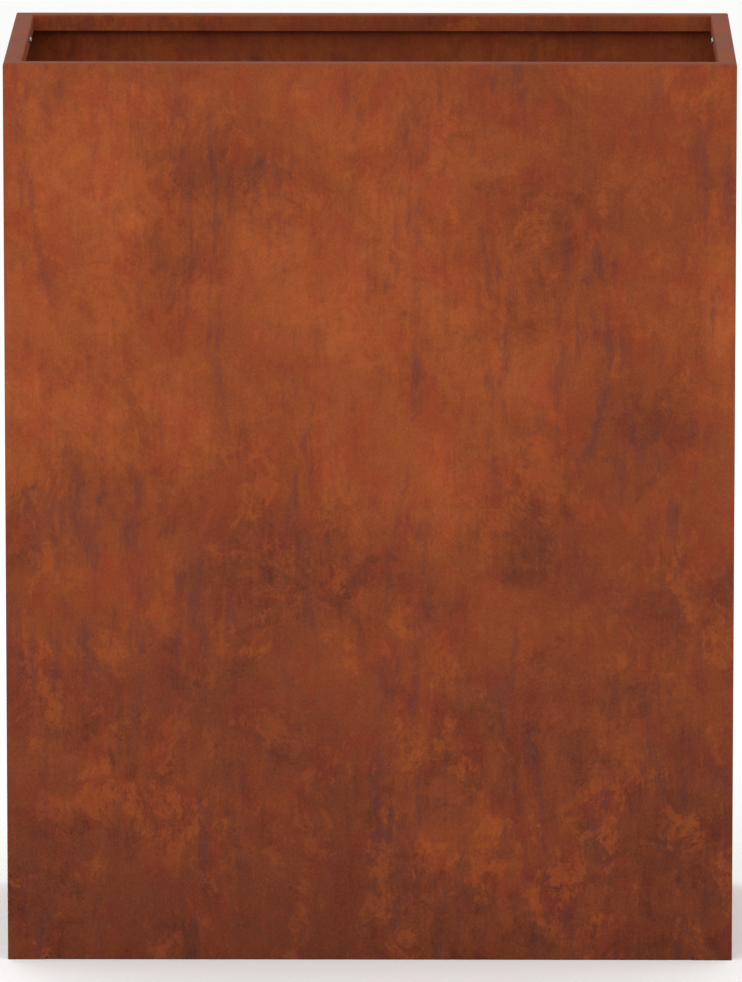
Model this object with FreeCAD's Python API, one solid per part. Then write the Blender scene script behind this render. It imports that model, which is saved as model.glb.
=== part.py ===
import FreeCAD, Part
import math
import os

# Tall rectangular planter box in weathering steel.
# Four folded walls with a turned-in rim and a turned-down lip stand on their own bottom flanges.
# A raised base plate lies on ledge angles, two tie bars hold the long walls together,
# and four levelling feet wind out of brackets in the bottom corners.
# Units are millimetres. The origin is the middle of the underside, +Z is up and the front faces -Y.

Vector = FreeCAD.Vector
UP = Vector(0, 0, 1)

# Overall size
WIDTH = 800.0
DEPTH = 400.0
HEIGHT = 1000.0

# Folded walls
SHEET = 2.0
BEND = 2.5  # outside radius of every fold in the sheet
RIM = 20.0  # width of the turned-in rim
LIP = 18.0  # height of the turned-down lip
FLANGE = 30.0  # width of the bottom return flange
RELIEF_INSET = 43.0  # from a corner to the middle of a relief notch
RELIEF_WIDTH = 2.0
RELIEF_HEIGHT = 3.0
CORNER_ROUND = 1.5  # ground outside corners
MITRE_REACH = 60.0  # how far inwards the 45 degree mitre runs, more than the widest flange

# Inside corner welds
CORNER_WELD = 4.0
WELD_STOP = 4.0  # the welds stop this far from the floor and from the top

# Base and what carries it
BASE_TOP_OF_LEDGE = 80.0
BASE_THICKNESS = 3.0
BASE_GAP = 4.0
BASE_CORNER_CUT = 10.0
DRAIN_RADIUS = 8.0
DRAIN_X = (-300.0, -100.0, 100.0, 300.0)
DRAIN_Y = (-100.0, 100.0)
LEDGE_LEG = 30.0
LEDGE_THICKNESS = 3.0
LEDGE_ROOT = 3.5
LEDGE_END_GAP = 12.0
STITCH_LENGTH = 30.0
STITCH_LEG = 3.0
STITCH_SPACING = 180.0
CHANNEL_WIDTH = 40.0
CHANNEL_HEIGHT = 20.0
CHANNEL_SHEET = 3.0
CHANNEL_BEND = 4.5
CHANNEL_END_GAP = 3.0
CHANNEL_X = {"left": -200.0, "centre": 0.0, "right": 200.0}

# Tie bars across the box
TIE_X = {"left": -135.0, "right": 135.0}
TIE_HEIGHT = 620.0
TIE_WIDTH = 30.0
TIE_SHEET = 4.0
TIE_BEND = 6.0
TIE_TAB = 36.0
TIE_HOLE_RADIUS = 4.5
TIE_STUD_RADIUS = 4.0
TIE_STUD_LENGTH = 16.0
TIE_STUD_RISE = 21.0  # stud centre above the underside of the bar
WASHER_RADIUS = 8.0
WASHER_HOLE = 4.2
WASHER_THICKNESS = 1.6
TIE_NUT_FLATS = 13.0
TIE_NUT_HEIGHT = 6.5

# One screw in each short lip
SCREW_Y = 60.0  # behind the middle of the box
SCREW_DROP = 12.0  # below the top of the rim
SCREW_RADIUS = 2.0
SCREW_LENGTH = 10.0
SCREW_HEAD_RADIUS = 3.8
SCREW_HEAD_HEIGHT = 2.2
SCREW_HEAD_EDGE = 0.4  # the short upright edge under the dome
SCREW_HEAD_FLAT = 1.9  # radius of the flat round the socket
SCREW_SOCKET_FLATS = 2.5
SCREW_SOCKET_DEPTH = 1.3
SCREW_HOLE_RADIUS = 2.2
LIP_NUT_FLATS = 7.0
LIP_NUT_HEIGHT = 3.2

# Levelling feet
BRACKET_SIDE = 41.0
BRACKET_UNDERSIDE = 24.0
BRACKET_THICKNESS = 4.0
BRACKET_WELD_CUT = 7.0
BRACKET_OPEN_CUT = 12.0
BRACKET_HOLE_RADIUS = 5.5
BRACKET_WELD_LENGTH = 26.0
FOOT_INSET = 22.0  # stud axis from the outside of each wall
STUD_RADIUS = 5.0
STUD_TOP = 68.0
STUD_CHAMFER = 1.0
STUD_HEX_FLATS = 13.0
STUD_HEX_BOTTOM = 9.0
STUD_HEX_TOP = 15.0
SPIGOT_RADIUS = 4.0
SPIGOT_BOTTOM = 3.0
RUNNING_CLEARANCE = 0.05
PAD_RADIUS = 16.0
PAD_NECK_RADIUS = 9.0
PAD_RIM_HEIGHT = 4.0
PAD_TOP = 8.9
PAD_FLOOR = 2.9
PAD_EDGE = 1.0  # chamfer round the underside
FOOT_NUT_FLATS = 17.0
WELD_NUT_HEIGHT = 8.0
LOCK_NUT_HEIGHT = 6.0

# Shapes that repeat
NUT_CHAMFER_SHARE = 0.6  # of the way from a hexagon's flats to its corners
BEAD_MIDDLE_SHARE = 0.6  # how far out a fillet weld's middle stands, as a share of its leg
TOUCHING = 1e-6

CORNERS = {
    "front_left": (-1, -1),
    "front_right": (1, -1),
    "rear_left": (-1, 1),
    "rear_right": (1, 1),
}
INNER_X = WIDTH / 2 - SHEET
INNER_Y = DEPTH / 2 - SHEET


def save(node, solids):
    """Writes one node, a single solid or a group of separate ones."""
    solids = list(solids)
    shape = solids[0] if len(solids) == 1 else Part.makeCompound(solids)
    assert shape.isValid(), node
    shape.exportStep("parts/" + node + ".step")


def section_point(y, z):
    return Vector(0, y, z)


def right_of(a, b):
    """Unit vector to the right of the way from a to b, in the YZ plane."""
    along = (b - a).normalize()
    return Vector(0, along.z, -along.y)


def rounded_path(points, radius):
    """Edges along an open run of points, with each square bend rounded."""
    edges = []
    start = points[0]
    for before, bend, after in zip(points, points[1:], points[2:]):
        into = (bend - before).normalize()
        out = (after - bend).normalize()
        enter = bend - into * radius
        leave = bend + out * radius
        middle = bend + (out - into) * radius * (1 - math.sqrt(0.5))
        edges.append(Part.makeLine(start, enter))
        edges.append(Part.Arc(enter, middle, leave).toShape())
        start = leave
    edges.append(Part.makeLine(start, points[-1]))
    return edges


def folded_strip(corners, thickness, radius, length):
    """Sheet folded along a run of YZ corners that all turn right, centred on x = 0."""
    outside = [section_point(y, z) for y, z in corners]
    sides = [right_of(a, b) * thickness for a, b in zip(outside, outside[1:])]
    steps = [sides[0]] + [a + b for a, b in zip(sides, sides[1:])] + [sides[-1]]
    inside = [point + step for point, step in zip(outside, steps)]
    edges = rounded_path(outside, radius)
    edges.append(Part.makeLine(outside[-1], inside[-1]))
    edges.extend(rounded_path(inside[::-1], radius - thickness))
    edges.append(Part.makeLine(inside[0], outside[0]))
    face = Part.Face(Part.Wire(edges))
    strip = face.extrude(Vector(length, 0, 0))
    return strip.translated(Vector(-length / 2, 0, 0))


def turned(shape, quarters):
    """The shape turned about the planter's upright axis by quarter turns."""
    return shape.rotated(Vector(0, 0, 0), UP, 90 * quarters)


def box_between(low, high):
    size = [b - a for a, b in zip(low, high)]
    return Part.makeBox(*size, Vector(*low))


def cylinder(radius, start, axis, length):
    return Part.makeCylinder(radius, length, start, axis)


def hexagon(flats, start, axis, length):
    """A hexagonal prism with rounded-off corners, as on a pressed nut."""
    corner_radius = flats / math.sqrt(3)
    points = [
        Vector(corner_radius * math.cos(a), corner_radius * math.sin(a), 0)
        for a in (math.radians(60 * k) for k in range(7))
    ]
    prism = Part.Face(Part.makePolygon(points)).extrude(Vector(0, 0, length))
    chamfer = (corner_radius - flats / 2) * NUT_CHAMFER_SHARE
    blank = Part.makeCylinder(corner_radius, length)
    blank = blank.makeChamfer(chamfer, [e for e in blank.Edges if e.Curve.TypeId == "Part::GeomCircle"])
    nut = prism.common(blank)
    nut.Placement = FreeCAD.Placement(start, FreeCAD.Rotation(UP, axis))
    return nut


def nut(flats, bore_radius, start, axis, height):
    """A hexagon nut with a bore along its axis."""
    return hexagon(flats, start, axis, height).cut(cylinder(bore_radius, start, axis, height))


def wedge_in_plan(length, out):
    """The ground a wall may cover: its own side of the two 45 degree mitres."""
    half = length / 2
    points = [
        Vector(-half, -out, 0),
        Vector(half, -out, 0),
        Vector(half - MITRE_REACH, MITRE_REACH - out, 0),
        Vector(MITRE_REACH - half, MITRE_REACH - out, 0),
        Vector(-half, -out, 0),
    ]
    return Part.Face(Part.makePolygon(points)).extrude(UP * HEIGHT)


def rounded_column():
    """The planter's whole outline with its ground vertical corners."""
    column = box_between((-WIDTH / 2, -DEPTH / 2, 0), (WIDTH / 2, DEPTH / 2, HEIGHT))
    upright = [e for e in column.Edges if abs(e.BoundBox.ZLength - HEIGHT) < TOUCHING]
    return column.makeFillet(CORNER_ROUND, upright)


def wall(length, out):
    """One folded wall along X with its outside face at y = -out."""
    upper = [
        (-out, 0),
        (-out, HEIGHT),
        (RIM - out, HEIGHT),
        (RIM - out, HEIGHT - LIP),
    ]
    lower = [(FLANGE - out, 0), (-out, 0), (-out, RELIEF_HEIGHT)]
    between_reliefs = length - 2 * RELIEF_INSET
    flange = folded_strip(lower, SHEET, BEND, between_reliefs - RELIEF_WIDTH)
    cleared = between_reliefs + RELIEF_WIDTH
    gap = box_between((-cleared / 2, -out, 0), (cleared / 2, SHEET - out, RELIEF_HEIGHT))
    body = folded_strip(upper, SHEET, BEND, length).cut(gap).fuse(flange)
    return body.common(wedge_in_plan(length, out)).removeSplitter()


def walls():
    """The four walls, with the lips of the short ones drilled for their screws."""
    column = rounded_column()
    screw_z = HEIGHT - SCREW_DROP
    long_wall = wall(WIDTH, DEPTH / 2)
    short_wall = wall(DEPTH, WIDTH / 2)
    between_walls = Vector(RIM / 2 - WIDTH / 2, SCREW_Y, screw_z)
    drill = cylinder(SCREW_HOLE_RADIUS, between_walls, Vector(1, 0, 0), WIDTH - RIM)
    placed = {
        "front_panel": turned(long_wall, 0),
        "right_end_panel": turned(short_wall, 1).cut(drill),
        "rear_panel": turned(long_wall, 2),
        "left_end_panel": turned(short_wall, 3).cut(drill),
    }
    for node, panel in placed.items():
        save(node, panel.common(column).Solids)


def bead(leg, length):
    """A fillet weld along Z in the corner between +X and +Y."""
    bulge = leg * BEAD_MIDDLE_SHARE
    edges = [
        Part.makeLine(Vector(0, 0, 0), Vector(leg, 0, 0)),
        Part.Arc(Vector(leg, 0, 0), Vector(bulge, bulge, 0), Vector(0, leg, 0)).toShape(),
        Part.makeLine(Vector(0, leg, 0), Vector(0, 0, 0)),
    ]
    return Part.Face(Part.Wire(edges)).extrude(Vector(0, 0, length))


def quarter_of(corner):
    """Quarter turns that bring the rear right corner's pieces to this corner."""
    return {(1, 1): 0, (-1, 1): 1, (-1, -1): 2, (1, -1): 3}[corner]


def corner_welds():
    length = HEIGHT - 2 * WELD_STOP
    for name, corner in CORNERS.items():
        # The bead's own corner opens to +X and +Y, so it is turned to open inwards.
        piece = turned(bead(CORNER_WELD, length), quarter_of(corner) + 2)
        place = Vector(corner[0] * INNER_X, corner[1] * INNER_Y, WELD_STOP)
        save("corner_weld_" + name, [piece.translated(place)])


def ledge(length, inner):
    """An angle along X on the wall whose inside face is at y = -inner."""
    top = BASE_TOP_OF_LEDGE
    face = -inner
    leg = LEDGE_LEG
    thick = LEDGE_THICKNESS
    root = LEDGE_ROOT
    centre_y = face + thick + root
    centre_z = top - thick - root
    reach = root * math.sqrt(0.5)
    edges = [
        Part.makeLine(section_point(face, top), section_point(face + leg, top)),
        Part.makeLine(section_point(face + leg, top), section_point(face + leg, top - thick)),
        Part.makeLine(section_point(face + leg, top - thick), section_point(centre_y, top - thick)),
        Part.Arc(
            section_point(centre_y, top - thick),
            section_point(centre_y - reach, centre_z + reach),
            section_point(face + thick, centre_z),
        ).toShape(),
        Part.makeLine(section_point(face + thick, centre_z), section_point(face + thick, top - leg)),
        Part.makeLine(section_point(face + thick, top - leg), section_point(face, top - leg)),
        Part.makeLine(section_point(face, top - leg), section_point(face, top)),
    ]
    bar = Part.Face(Part.Wire(edges)).extrude(Vector(length, 0, 0))
    return bar.translated(Vector(-length / 2, 0, 0))


def stitches(length, inner):
    """Short fillet welds under the ledge of one wall, evenly spaced and centred."""
    count = int((length - STITCH_LENGTH) / STITCH_SPACING) + 1
    # The bead runs along X, in the corner between the wall (+Z down) and the ledge's lower edge.
    piece = bead(STITCH_LEG, STITCH_LENGTH)
    piece = piece.rotated(Vector(0, 0, 0), Vector(0, 1, 0), 90)
    first = -(count - 1) * STITCH_SPACING / 2 - STITCH_LENGTH / 2
    z = BASE_TOP_OF_LEDGE - LEDGE_LEG
    return [piece.translated(Vector(first + k * STITCH_SPACING, -inner, z)) for k in range(count)]


def base_supports():
    long_ledge = 2 * (INNER_X - LEDGE_END_GAP)
    short_ledge = 2 * (INNER_Y - LEDGE_LEG - SHEET)
    sides = {
        "front": (0, long_ledge, INNER_Y),
        "right": (1, short_ledge, INNER_X),
        "rear": (2, long_ledge, INNER_Y),
        "left": (3, short_ledge, INNER_X),
    }
    welds = []
    for side, (quarters, length, inner) in sides.items():
        save("ledge_" + side, [turned(ledge(length, inner), quarters)])
        welds.extend(turned(piece, quarters) for piece in stitches(length, inner))
    save("ledge_welds", welds)


def base_plate():
    half_x = INNER_X - BASE_GAP
    half_y = INNER_Y - BASE_GAP
    cut = BASE_CORNER_CUT
    quarter = [(half_x, half_y - cut), (half_x - cut, half_y)]
    outline = quarter
    outline = outline + [(-x, y) for x, y in quarter[::-1]]
    outline = outline + [(-x, -y) for x, y in outline]
    points = [Vector(x, y, BASE_TOP_OF_LEDGE) for x, y in outline]
    plate = Part.Face(Part.makePolygon(points + points[:1])).extrude(UP * BASE_THICKNESS)
    for x in DRAIN_X:
        for y in DRAIN_Y:
            hole = cylinder(DRAIN_RADIUS, Vector(x, y, BASE_TOP_OF_LEDGE), UP, BASE_THICKNESS)
            plate = plate.cut(hole)
    save("base_plate", [plate])


def base_stiffeners():
    """Channels under the base plate from front to rear, between the ledges."""
    half = CHANNEL_WIDTH / 2
    top = BASE_TOP_OF_LEDGE
    bottom = top - CHANNEL_HEIGHT
    length = 2 * (INNER_Y - LEDGE_LEG - CHANNEL_END_GAP)
    section = [(half, top), (half, bottom), (-half, bottom), (-half, top)]
    channel = turned(folded_strip(section, CHANNEL_SHEET, CHANNEL_BEND, length), 1)
    for name, x in CHANNEL_X.items():
        save("base_stiffener_" + name, [channel.translated(Vector(x, 0, 0))])


def tie_bars():
    tab_top = TIE_HEIGHT + TIE_TAB
    section = [
        (INNER_Y, tab_top),
        (INNER_Y, TIE_HEIGHT),
        (-INNER_Y, TIE_HEIGHT),
        (-INNER_Y, tab_top),
    ]
    hole_z = TIE_HEIGHT + TIE_STUD_RISE
    drill = cylinder(TIE_HOLE_RADIUS, Vector(0, -DEPTH / 2, hole_z), Vector(0, 1, 0), DEPTH)
    bar = folded_strip(section, TIE_SHEET, TIE_BEND, TIE_WIDTH).cut(drill)
    studs = []
    washers = []
    nuts = []
    for name, x in TIE_X.items():
        save("tie_bar_" + name, [bar.translated(Vector(x, 0, 0))])
        for side in (-1, 1):
            inwards = Vector(0, -side, 0)
            wall_face = Vector(x, side * INNER_Y, hole_z)
            tab_face = wall_face + inwards * TIE_SHEET
            washer_face = tab_face + inwards * WASHER_THICKNESS
            bore = TIE_STUD_RADIUS + RUNNING_CLEARANCE
            studs.append(cylinder(TIE_STUD_RADIUS, wall_face, inwards, TIE_STUD_LENGTH))
            washer = cylinder(WASHER_RADIUS, tab_face, inwards, WASHER_THICKNESS)
            washers.append(washer.cut(cylinder(WASHER_HOLE, tab_face, inwards, WASHER_THICKNESS)))
            nuts.append(nut(TIE_NUT_FLATS, bore, washer_face, inwards, TIE_NUT_HEIGHT))
    save("tie_weld_studs", studs)
    save("tie_washers", washers)
    save("tie_nuts", nuts)


def domed_head():
    """A button head standing on z = 0, with its hexagon socket sunk from the top."""
    dome_height = SCREW_HEAD_HEIGHT - SCREW_HEAD_EDGE
    slope = math.sqrt(0.5)
    low = Vector(SCREW_HEAD_RADIUS, 0, 0)
    edge = Vector(SCREW_HEAD_RADIUS, 0, SCREW_HEAD_EDGE)
    top = Vector(SCREW_HEAD_FLAT, 0, SCREW_HEAD_HEIGHT)
    reach = SCREW_HEAD_RADIUS - SCREW_HEAD_FLAT
    middle = Vector(SCREW_HEAD_FLAT + reach * slope, 0, SCREW_HEAD_EDGE + dome_height * slope)
    centre = Vector(0, 0, SCREW_HEAD_HEIGHT)
    edges = [
        Part.makeLine(Vector(0, 0, 0), low),
        Part.makeLine(low, edge),
        Part.Arc(edge, middle, top).toShape(),
        Part.makeLine(top, centre),
        Part.makeLine(centre, Vector(0, 0, 0)),
    ]
    dome = Part.Face(Part.Wire(edges)).revolve(Vector(0, 0, 0), UP, 360)
    floor = Vector(0, 0, SCREW_HEAD_HEIGHT - SCREW_SOCKET_DEPTH)
    return dome.cut(hexagon_socket(floor))


def hexagon_socket(floor):
    corner_radius = SCREW_SOCKET_FLATS / math.sqrt(3)
    points = [
        floor + Vector(corner_radius * math.cos(a), corner_radius * math.sin(a), 0)
        for a in (math.radians(60 * k) for k in range(7))
    ]
    return Part.Face(Part.makePolygon(points)).extrude(UP * (2 * SCREW_SOCKET_DEPTH))


def lip_screws():
    """A screw through each short lip, with a weld nut behind the lip."""
    shank = cylinder(SCREW_RADIUS, Vector(0, 0, -SCREW_LENGTH), UP, SCREW_LENGTH)
    screw = domed_head().fuse(shank).removeSplitter()
    bore = SCREW_RADIUS + RUNNING_CLEARANCE
    nuts = []
    for name, side in (("left", -1), ("right", 1)):
        inwards = Vector(-side, 0, 0)
        lip_face = Vector(side * (WIDTH / 2 - RIM), SCREW_Y, HEIGHT - SCREW_DROP)
        behind = lip_face - inwards * SHEET
        piece = screw.copy()
        piece.Placement = FreeCAD.Placement(lip_face, FreeCAD.Rotation(UP, inwards))
        save("lip_screw_" + name, [piece])
        nuts.append(nut(LIP_NUT_FLATS, bore, behind, inwards * -1, LIP_NUT_HEIGHT))
    save("lip_weld_nuts", nuts)


def foot_bracket():
    """A gusset plate in the rear right corner, drilled for the foot's stud."""
    far = BRACKET_SIDE
    points = [
        (INNER_X - BRACKET_WELD_CUT, INNER_Y),
        (INNER_X - far, INNER_Y),
        (INNER_X - far, INNER_Y - far + BRACKET_OPEN_CUT),
        (INNER_X - far + BRACKET_OPEN_CUT, INNER_Y - far),
        (INNER_X, INNER_Y - far),
        (INNER_X, INNER_Y - BRACKET_WELD_CUT),
    ]
    corners = [Vector(x, y, BRACKET_UNDERSIDE) for x, y in points]
    plate = Part.Face(Part.makePolygon(corners + corners[:1])).extrude(UP * BRACKET_THICKNESS)
    axis = Vector(WIDTH / 2 - FOOT_INSET, DEPTH / 2 - FOOT_INSET, BRACKET_UNDERSIDE)
    return plate.cut(cylinder(BRACKET_HOLE_RADIUS, axis, UP, BRACKET_THICKNESS))


def mirrored_to(shape, corner):
    """A piece made in the rear right corner, mirrored to another corner."""
    if corner[0] < 0:
        shape = shape.mirror(Vector(0, 0, 0), Vector(1, 0, 0))
    if corner[1] < 0:
        shape = shape.mirror(Vector(0, 0, 0), Vector(0, 1, 0))
    return shape


def bracket_beads():
    """Two fillet welds under the bracket, one along each wall of the rear right corner."""
    middle = BRACKET_SIDE / 2
    start = middle - BRACKET_WELD_LENGTH / 2
    along_x = bead(STITCH_LEG, BRACKET_WELD_LENGTH).rotated(Vector(0, 0, 0), Vector(0, 1, 0), 90)
    along_x = along_x.mirror(Vector(0, 0, 0), Vector(0, 1, 0))
    low_x = INNER_X - BRACKET_SIDE + start
    first = along_x.translated(Vector(low_x, INNER_Y, BRACKET_UNDERSIDE))
    along_y = bead(STITCH_LEG, BRACKET_WELD_LENGTH).rotated(Vector(0, 0, 0), Vector(1, 0, 0), -90)
    along_y = along_y.mirror(Vector(0, 0, 0), Vector(1, 0, 0))
    low_y = INNER_Y - BRACKET_SIDE + start
    second = along_y.translated(Vector(INNER_X, low_y, BRACKET_UNDERSIDE))
    return [first, second]


def foot_stud(axis):
    """A threaded stud with a hexagon to turn it by and a spigot that turns in the pad."""
    spigot = cylinder(SPIGOT_RADIUS, axis + UP * SPIGOT_BOTTOM, UP, STUD_HEX_BOTTOM - SPIGOT_BOTTOM)
    hexed = hexagon(STUD_HEX_FLATS, axis + UP * STUD_HEX_BOTTOM, UP, STUD_HEX_TOP - STUD_HEX_BOTTOM)
    rod = cylinder(STUD_RADIUS, axis + UP * STUD_HEX_TOP, UP, STUD_TOP - STUD_HEX_TOP)
    rim = [e for e in rod.Edges if abs(e.BoundBox.ZMin - STUD_TOP) < TOUCHING]
    rod = rod.makeChamfer(STUD_CHAMFER, rim)
    return spigot.fuse(hexed).fuse(rod).removeSplitter()


def foot_pad(axis):
    """A round pad with a sloping shoulder and a blind socket for the stud's spigot."""
    profile = [
        (0, 0),
        (PAD_RADIUS - PAD_EDGE, 0),
        (PAD_RADIUS, PAD_EDGE),
        (PAD_RADIUS, PAD_RIM_HEIGHT),
        (PAD_NECK_RADIUS, PAD_TOP),
        (0, PAD_TOP),
        (0, 0),
    ]
    points = [Vector(x, 0, z) for x, z in profile]
    body = Part.Face(Part.makePolygon(points)).revolve(Vector(0, 0, 0), UP, 360)
    socket_radius = SPIGOT_RADIUS + RUNNING_CLEARANCE
    socket = cylinder(socket_radius, UP * PAD_FLOOR, UP, PAD_TOP - PAD_FLOOR)
    return body.cut(socket).translated(axis)


def feet():
    weld_nuts = []
    lock_nuts = []
    beads = []
    bore = STUD_RADIUS + RUNNING_CLEARANCE
    bracket_top = BRACKET_UNDERSIDE + BRACKET_THICKNESS
    for name, corner in CORNERS.items():
        axis = Vector(corner[0] * (WIDTH / 2 - FOOT_INSET), corner[1] * (DEPTH / 2 - FOOT_INSET), 0)
        save("foot_bracket_" + name, [mirrored_to(foot_bracket(), corner)])
        save("foot_stud_" + name, [foot_stud(axis)])
        save("foot_pad_" + name, [foot_pad(axis)])
        beads.extend(mirrored_to(piece, corner) for piece in bracket_beads())
        weld_nuts.append(nut(FOOT_NUT_FLATS, bore, axis + UP * bracket_top, UP, WELD_NUT_HEIGHT))
        lock_start = axis + UP * (BRACKET_UNDERSIDE - LOCK_NUT_HEIGHT)
        lock_nuts.append(nut(FOOT_NUT_FLATS, bore, lock_start, UP, LOCK_NUT_HEIGHT))
    save("bracket_welds", beads)
    save("foot_weld_nuts", weld_nuts)
    save("foot_lock_nuts", lock_nuts)


os.makedirs("parts", exist_ok=True)
walls()
corner_welds()
base_supports()
base_plate()
base_stiffeners()
tie_bars()
lip_screws()
feet()
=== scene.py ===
# %% [markdown]
# # A tall planter box in weathering steel
# The object is a folded sheet-steel box, 0.8 m wide, 0.4 m deep and 1 m high, with a turned-in rim.
# Its bare steel has grown a rust patina, and everything that gives the eye its interest is in that skin.
# The CAD model is loaded first. Every piece made below takes its place and size from it, so nothing
# has to be fitted by eye. The box round the CAD model is kept.

# %% Load the frame
import math

import bmesh
import bpy
from mathutils import Matrix, Vector, noise


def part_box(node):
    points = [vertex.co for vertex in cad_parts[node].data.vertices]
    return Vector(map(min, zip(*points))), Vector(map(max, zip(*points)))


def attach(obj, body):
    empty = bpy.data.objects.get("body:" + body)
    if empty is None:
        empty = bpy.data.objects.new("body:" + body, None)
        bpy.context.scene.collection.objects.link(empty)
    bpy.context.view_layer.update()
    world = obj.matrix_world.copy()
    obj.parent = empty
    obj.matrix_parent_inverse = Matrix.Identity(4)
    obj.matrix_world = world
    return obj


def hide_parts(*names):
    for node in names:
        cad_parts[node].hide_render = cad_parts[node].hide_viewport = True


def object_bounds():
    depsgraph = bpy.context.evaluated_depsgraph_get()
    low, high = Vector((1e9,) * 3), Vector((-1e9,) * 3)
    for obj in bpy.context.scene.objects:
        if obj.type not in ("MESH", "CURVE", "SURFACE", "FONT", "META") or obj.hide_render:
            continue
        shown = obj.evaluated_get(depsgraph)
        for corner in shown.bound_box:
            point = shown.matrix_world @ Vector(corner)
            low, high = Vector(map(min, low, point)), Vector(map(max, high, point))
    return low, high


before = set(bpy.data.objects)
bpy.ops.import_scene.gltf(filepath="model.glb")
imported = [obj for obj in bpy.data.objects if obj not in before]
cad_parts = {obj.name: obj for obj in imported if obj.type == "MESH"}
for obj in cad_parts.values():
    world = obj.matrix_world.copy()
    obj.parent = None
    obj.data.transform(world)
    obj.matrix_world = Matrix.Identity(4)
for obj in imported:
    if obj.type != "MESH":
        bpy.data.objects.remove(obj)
cad_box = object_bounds()
LOW, HIGH = cad_box
WIDTH, DEPTH, HEIGHT = HIGH - LOW
print("planter box: %.3f wide, %.3f deep, %.3f high" % (WIDTH, DEPTH, HEIGHT))

# %% [markdown]
# ## Two helpers for every finish
# A finish is a small network of nodes. One function adds a node, sets its properties and either sets
# or links its sockets, so a material reads as a list of what it is made of. Colours are written as the
# sRGB hex values that a paint chart uses, and shaders want linear light, so one function turns them.

# %% Colour and node helpers
MM = 0.001


def linear(code):
    """An sRGB hex colour as the linear red, green, blue and alpha that a socket takes."""
    shares = [int(code[i:i + 2], 16) / 255 for i in (1, 3, 5)]
    return tuple(s / 12.92 if s <= 0.04045 else ((s + 0.055) / 1.055) ** 2.4 for s in shares) + (1.0,)


def put(tree, kind, inputs=None, **settings):
    """Adds one shader node. Settings are its properties; inputs are its sockets' values or links."""
    made = tree.nodes.new("ShaderNode" + kind)
    for name, value in settings.items():
        setattr(made, name, value)
    for socket, value in (inputs or {}).items():
        if isinstance(value, bpy.types.NodeSocket):
            tree.links.new(value, made.inputs[socket])
        else:
            made.inputs[socket].default_value = value
    return made


def per_metre(size_mm):
    """The scale that gives a pattern features of this size."""
    return 1 / (size_mm * MM)


def new_finish(name):
    """An empty material with its surface shader, ready for the nodes that feed it."""
    material = bpy.data.materials.new(name)
    material.use_nodes = True
    material.node_tree.nodes.clear()
    tree = material.node_tree
    skin_shader = put(tree, "BsdfPrincipled")
    put(tree, "OutputMaterial", {"Surface": skin_shader.outputs["BSDF"]})
    return material, tree, skin_shader


print("mid rust in linear light: %.3f %.3f %.3f" % linear("#864228")[:3])

# %% [markdown]
# ## The camera
# A long lens far away keeps a box's edges nearly parallel, as in a catalogue view, and a little height
# shows the rim and the opening. The lens isn't shifted, so the same camera serves every other view.

# %% Camera
CAMERA_PLACE = Vector((0.08, -12.2, 2.75))
CAMERA_AIM = Vector((0, 0, 0.49))
CAMERA_LENS = 408

camera_data = bpy.data.cameras.new("camera")
camera_data.lens = CAMERA_LENS
camera_data.sensor_width = 36
camera_data.clip_end = 100
camera = bpy.data.objects.new("camera", camera_data)
camera.location = CAMERA_PLACE
camera.rotation_euler = (CAMERA_AIM - CAMERA_PLACE).to_track_quat("-Z", "Y").to_euler()
bpy.context.scene.collection.objects.link(camera)
bpy.context.scene.camera = camera
print("camera %.1f m away" % (CAMERA_AIM - CAMERA_PLACE).length)

# %% [markdown]
# ## Floor and studio light
# Rust has almost no shine, so it needs broad light that rakes a little, or it looks like paper. A white
# room gives the even light, one large softbox above the front gives direction, and two weaker ones
# keep the ends and the back readable.

# %% Floor and lights
FLOOR_HALF = 30.0


def softbox(name, place, aim, size, power):
    """A large square lamp that looks from its place to its aim."""
    lamp = bpy.data.lights.new(name, "AREA")
    lamp.size = size
    lamp.energy = power
    stand = bpy.data.objects.new(name, lamp)
    stand.location = place
    stand.rotation_euler = (Vector(aim) - Vector(place)).to_track_quat("-Z", "Y").to_euler()
    stand.visible_camera = False
    bpy.context.scene.collection.objects.link(stand)


floor_mesh = bpy.data.meshes.new("floor")
reach = FLOOR_HALF
floor_mesh.from_pydata(
    [(-reach, -reach, 0), (reach, -reach, 0), (reach, reach, 0), (-reach, reach, 0)], [], [(0, 1, 2, 3)]
)
floor = bpy.data.objects.new("floor", floor_mesh)
bpy.context.scene.collection.objects.link(floor)
paper, tree, skin_shader = new_finish("matt white studio paper")
skin_shader.inputs["Base Color"].default_value = linear("#fafaf9")
skin_shader.inputs["Roughness"].default_value = 0.9
floor_mesh.materials.append(paper)

room = bpy.data.worlds.new("white room")
room.use_nodes = True
room.node_tree.nodes["Background"].inputs["Color"].default_value = linear("#ffffff")
room.node_tree.nodes["Background"].inputs["Strength"].default_value = 1.0
bpy.context.scene.world = room
bpy.context.scene.view_settings.view_transform = "Standard"
bpy.context.scene.view_settings.look = "None"

# each softbox: its name, its place, where it looks, its side in metres and its power in watts
softbox("front softbox", (-1.6, -3.6, 2.2), (0, 0, 0.7), 1.8, 36)
softbox("right softbox", (3.4, -0.6, 2.4), (0.2, 0, 0.5), 1.6, 16)
softbox("rear softbox", (-1.8, 3.2, 2.6), (0, 0, 0.5), 1.8, 20)
print("floor, white room and 3 softboxes")

# %% [markdown]
# ## Skins over rings
# Most small pieces here are rings of points set along an axis: a weld bead, a threaded rod, a nut, a
# washer, a foot pad. One function lays faces over such rings. It is more work than adding a cylinder,
# but it gives true threads, chamfers and ripples, which still look right when the camera comes near.

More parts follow.
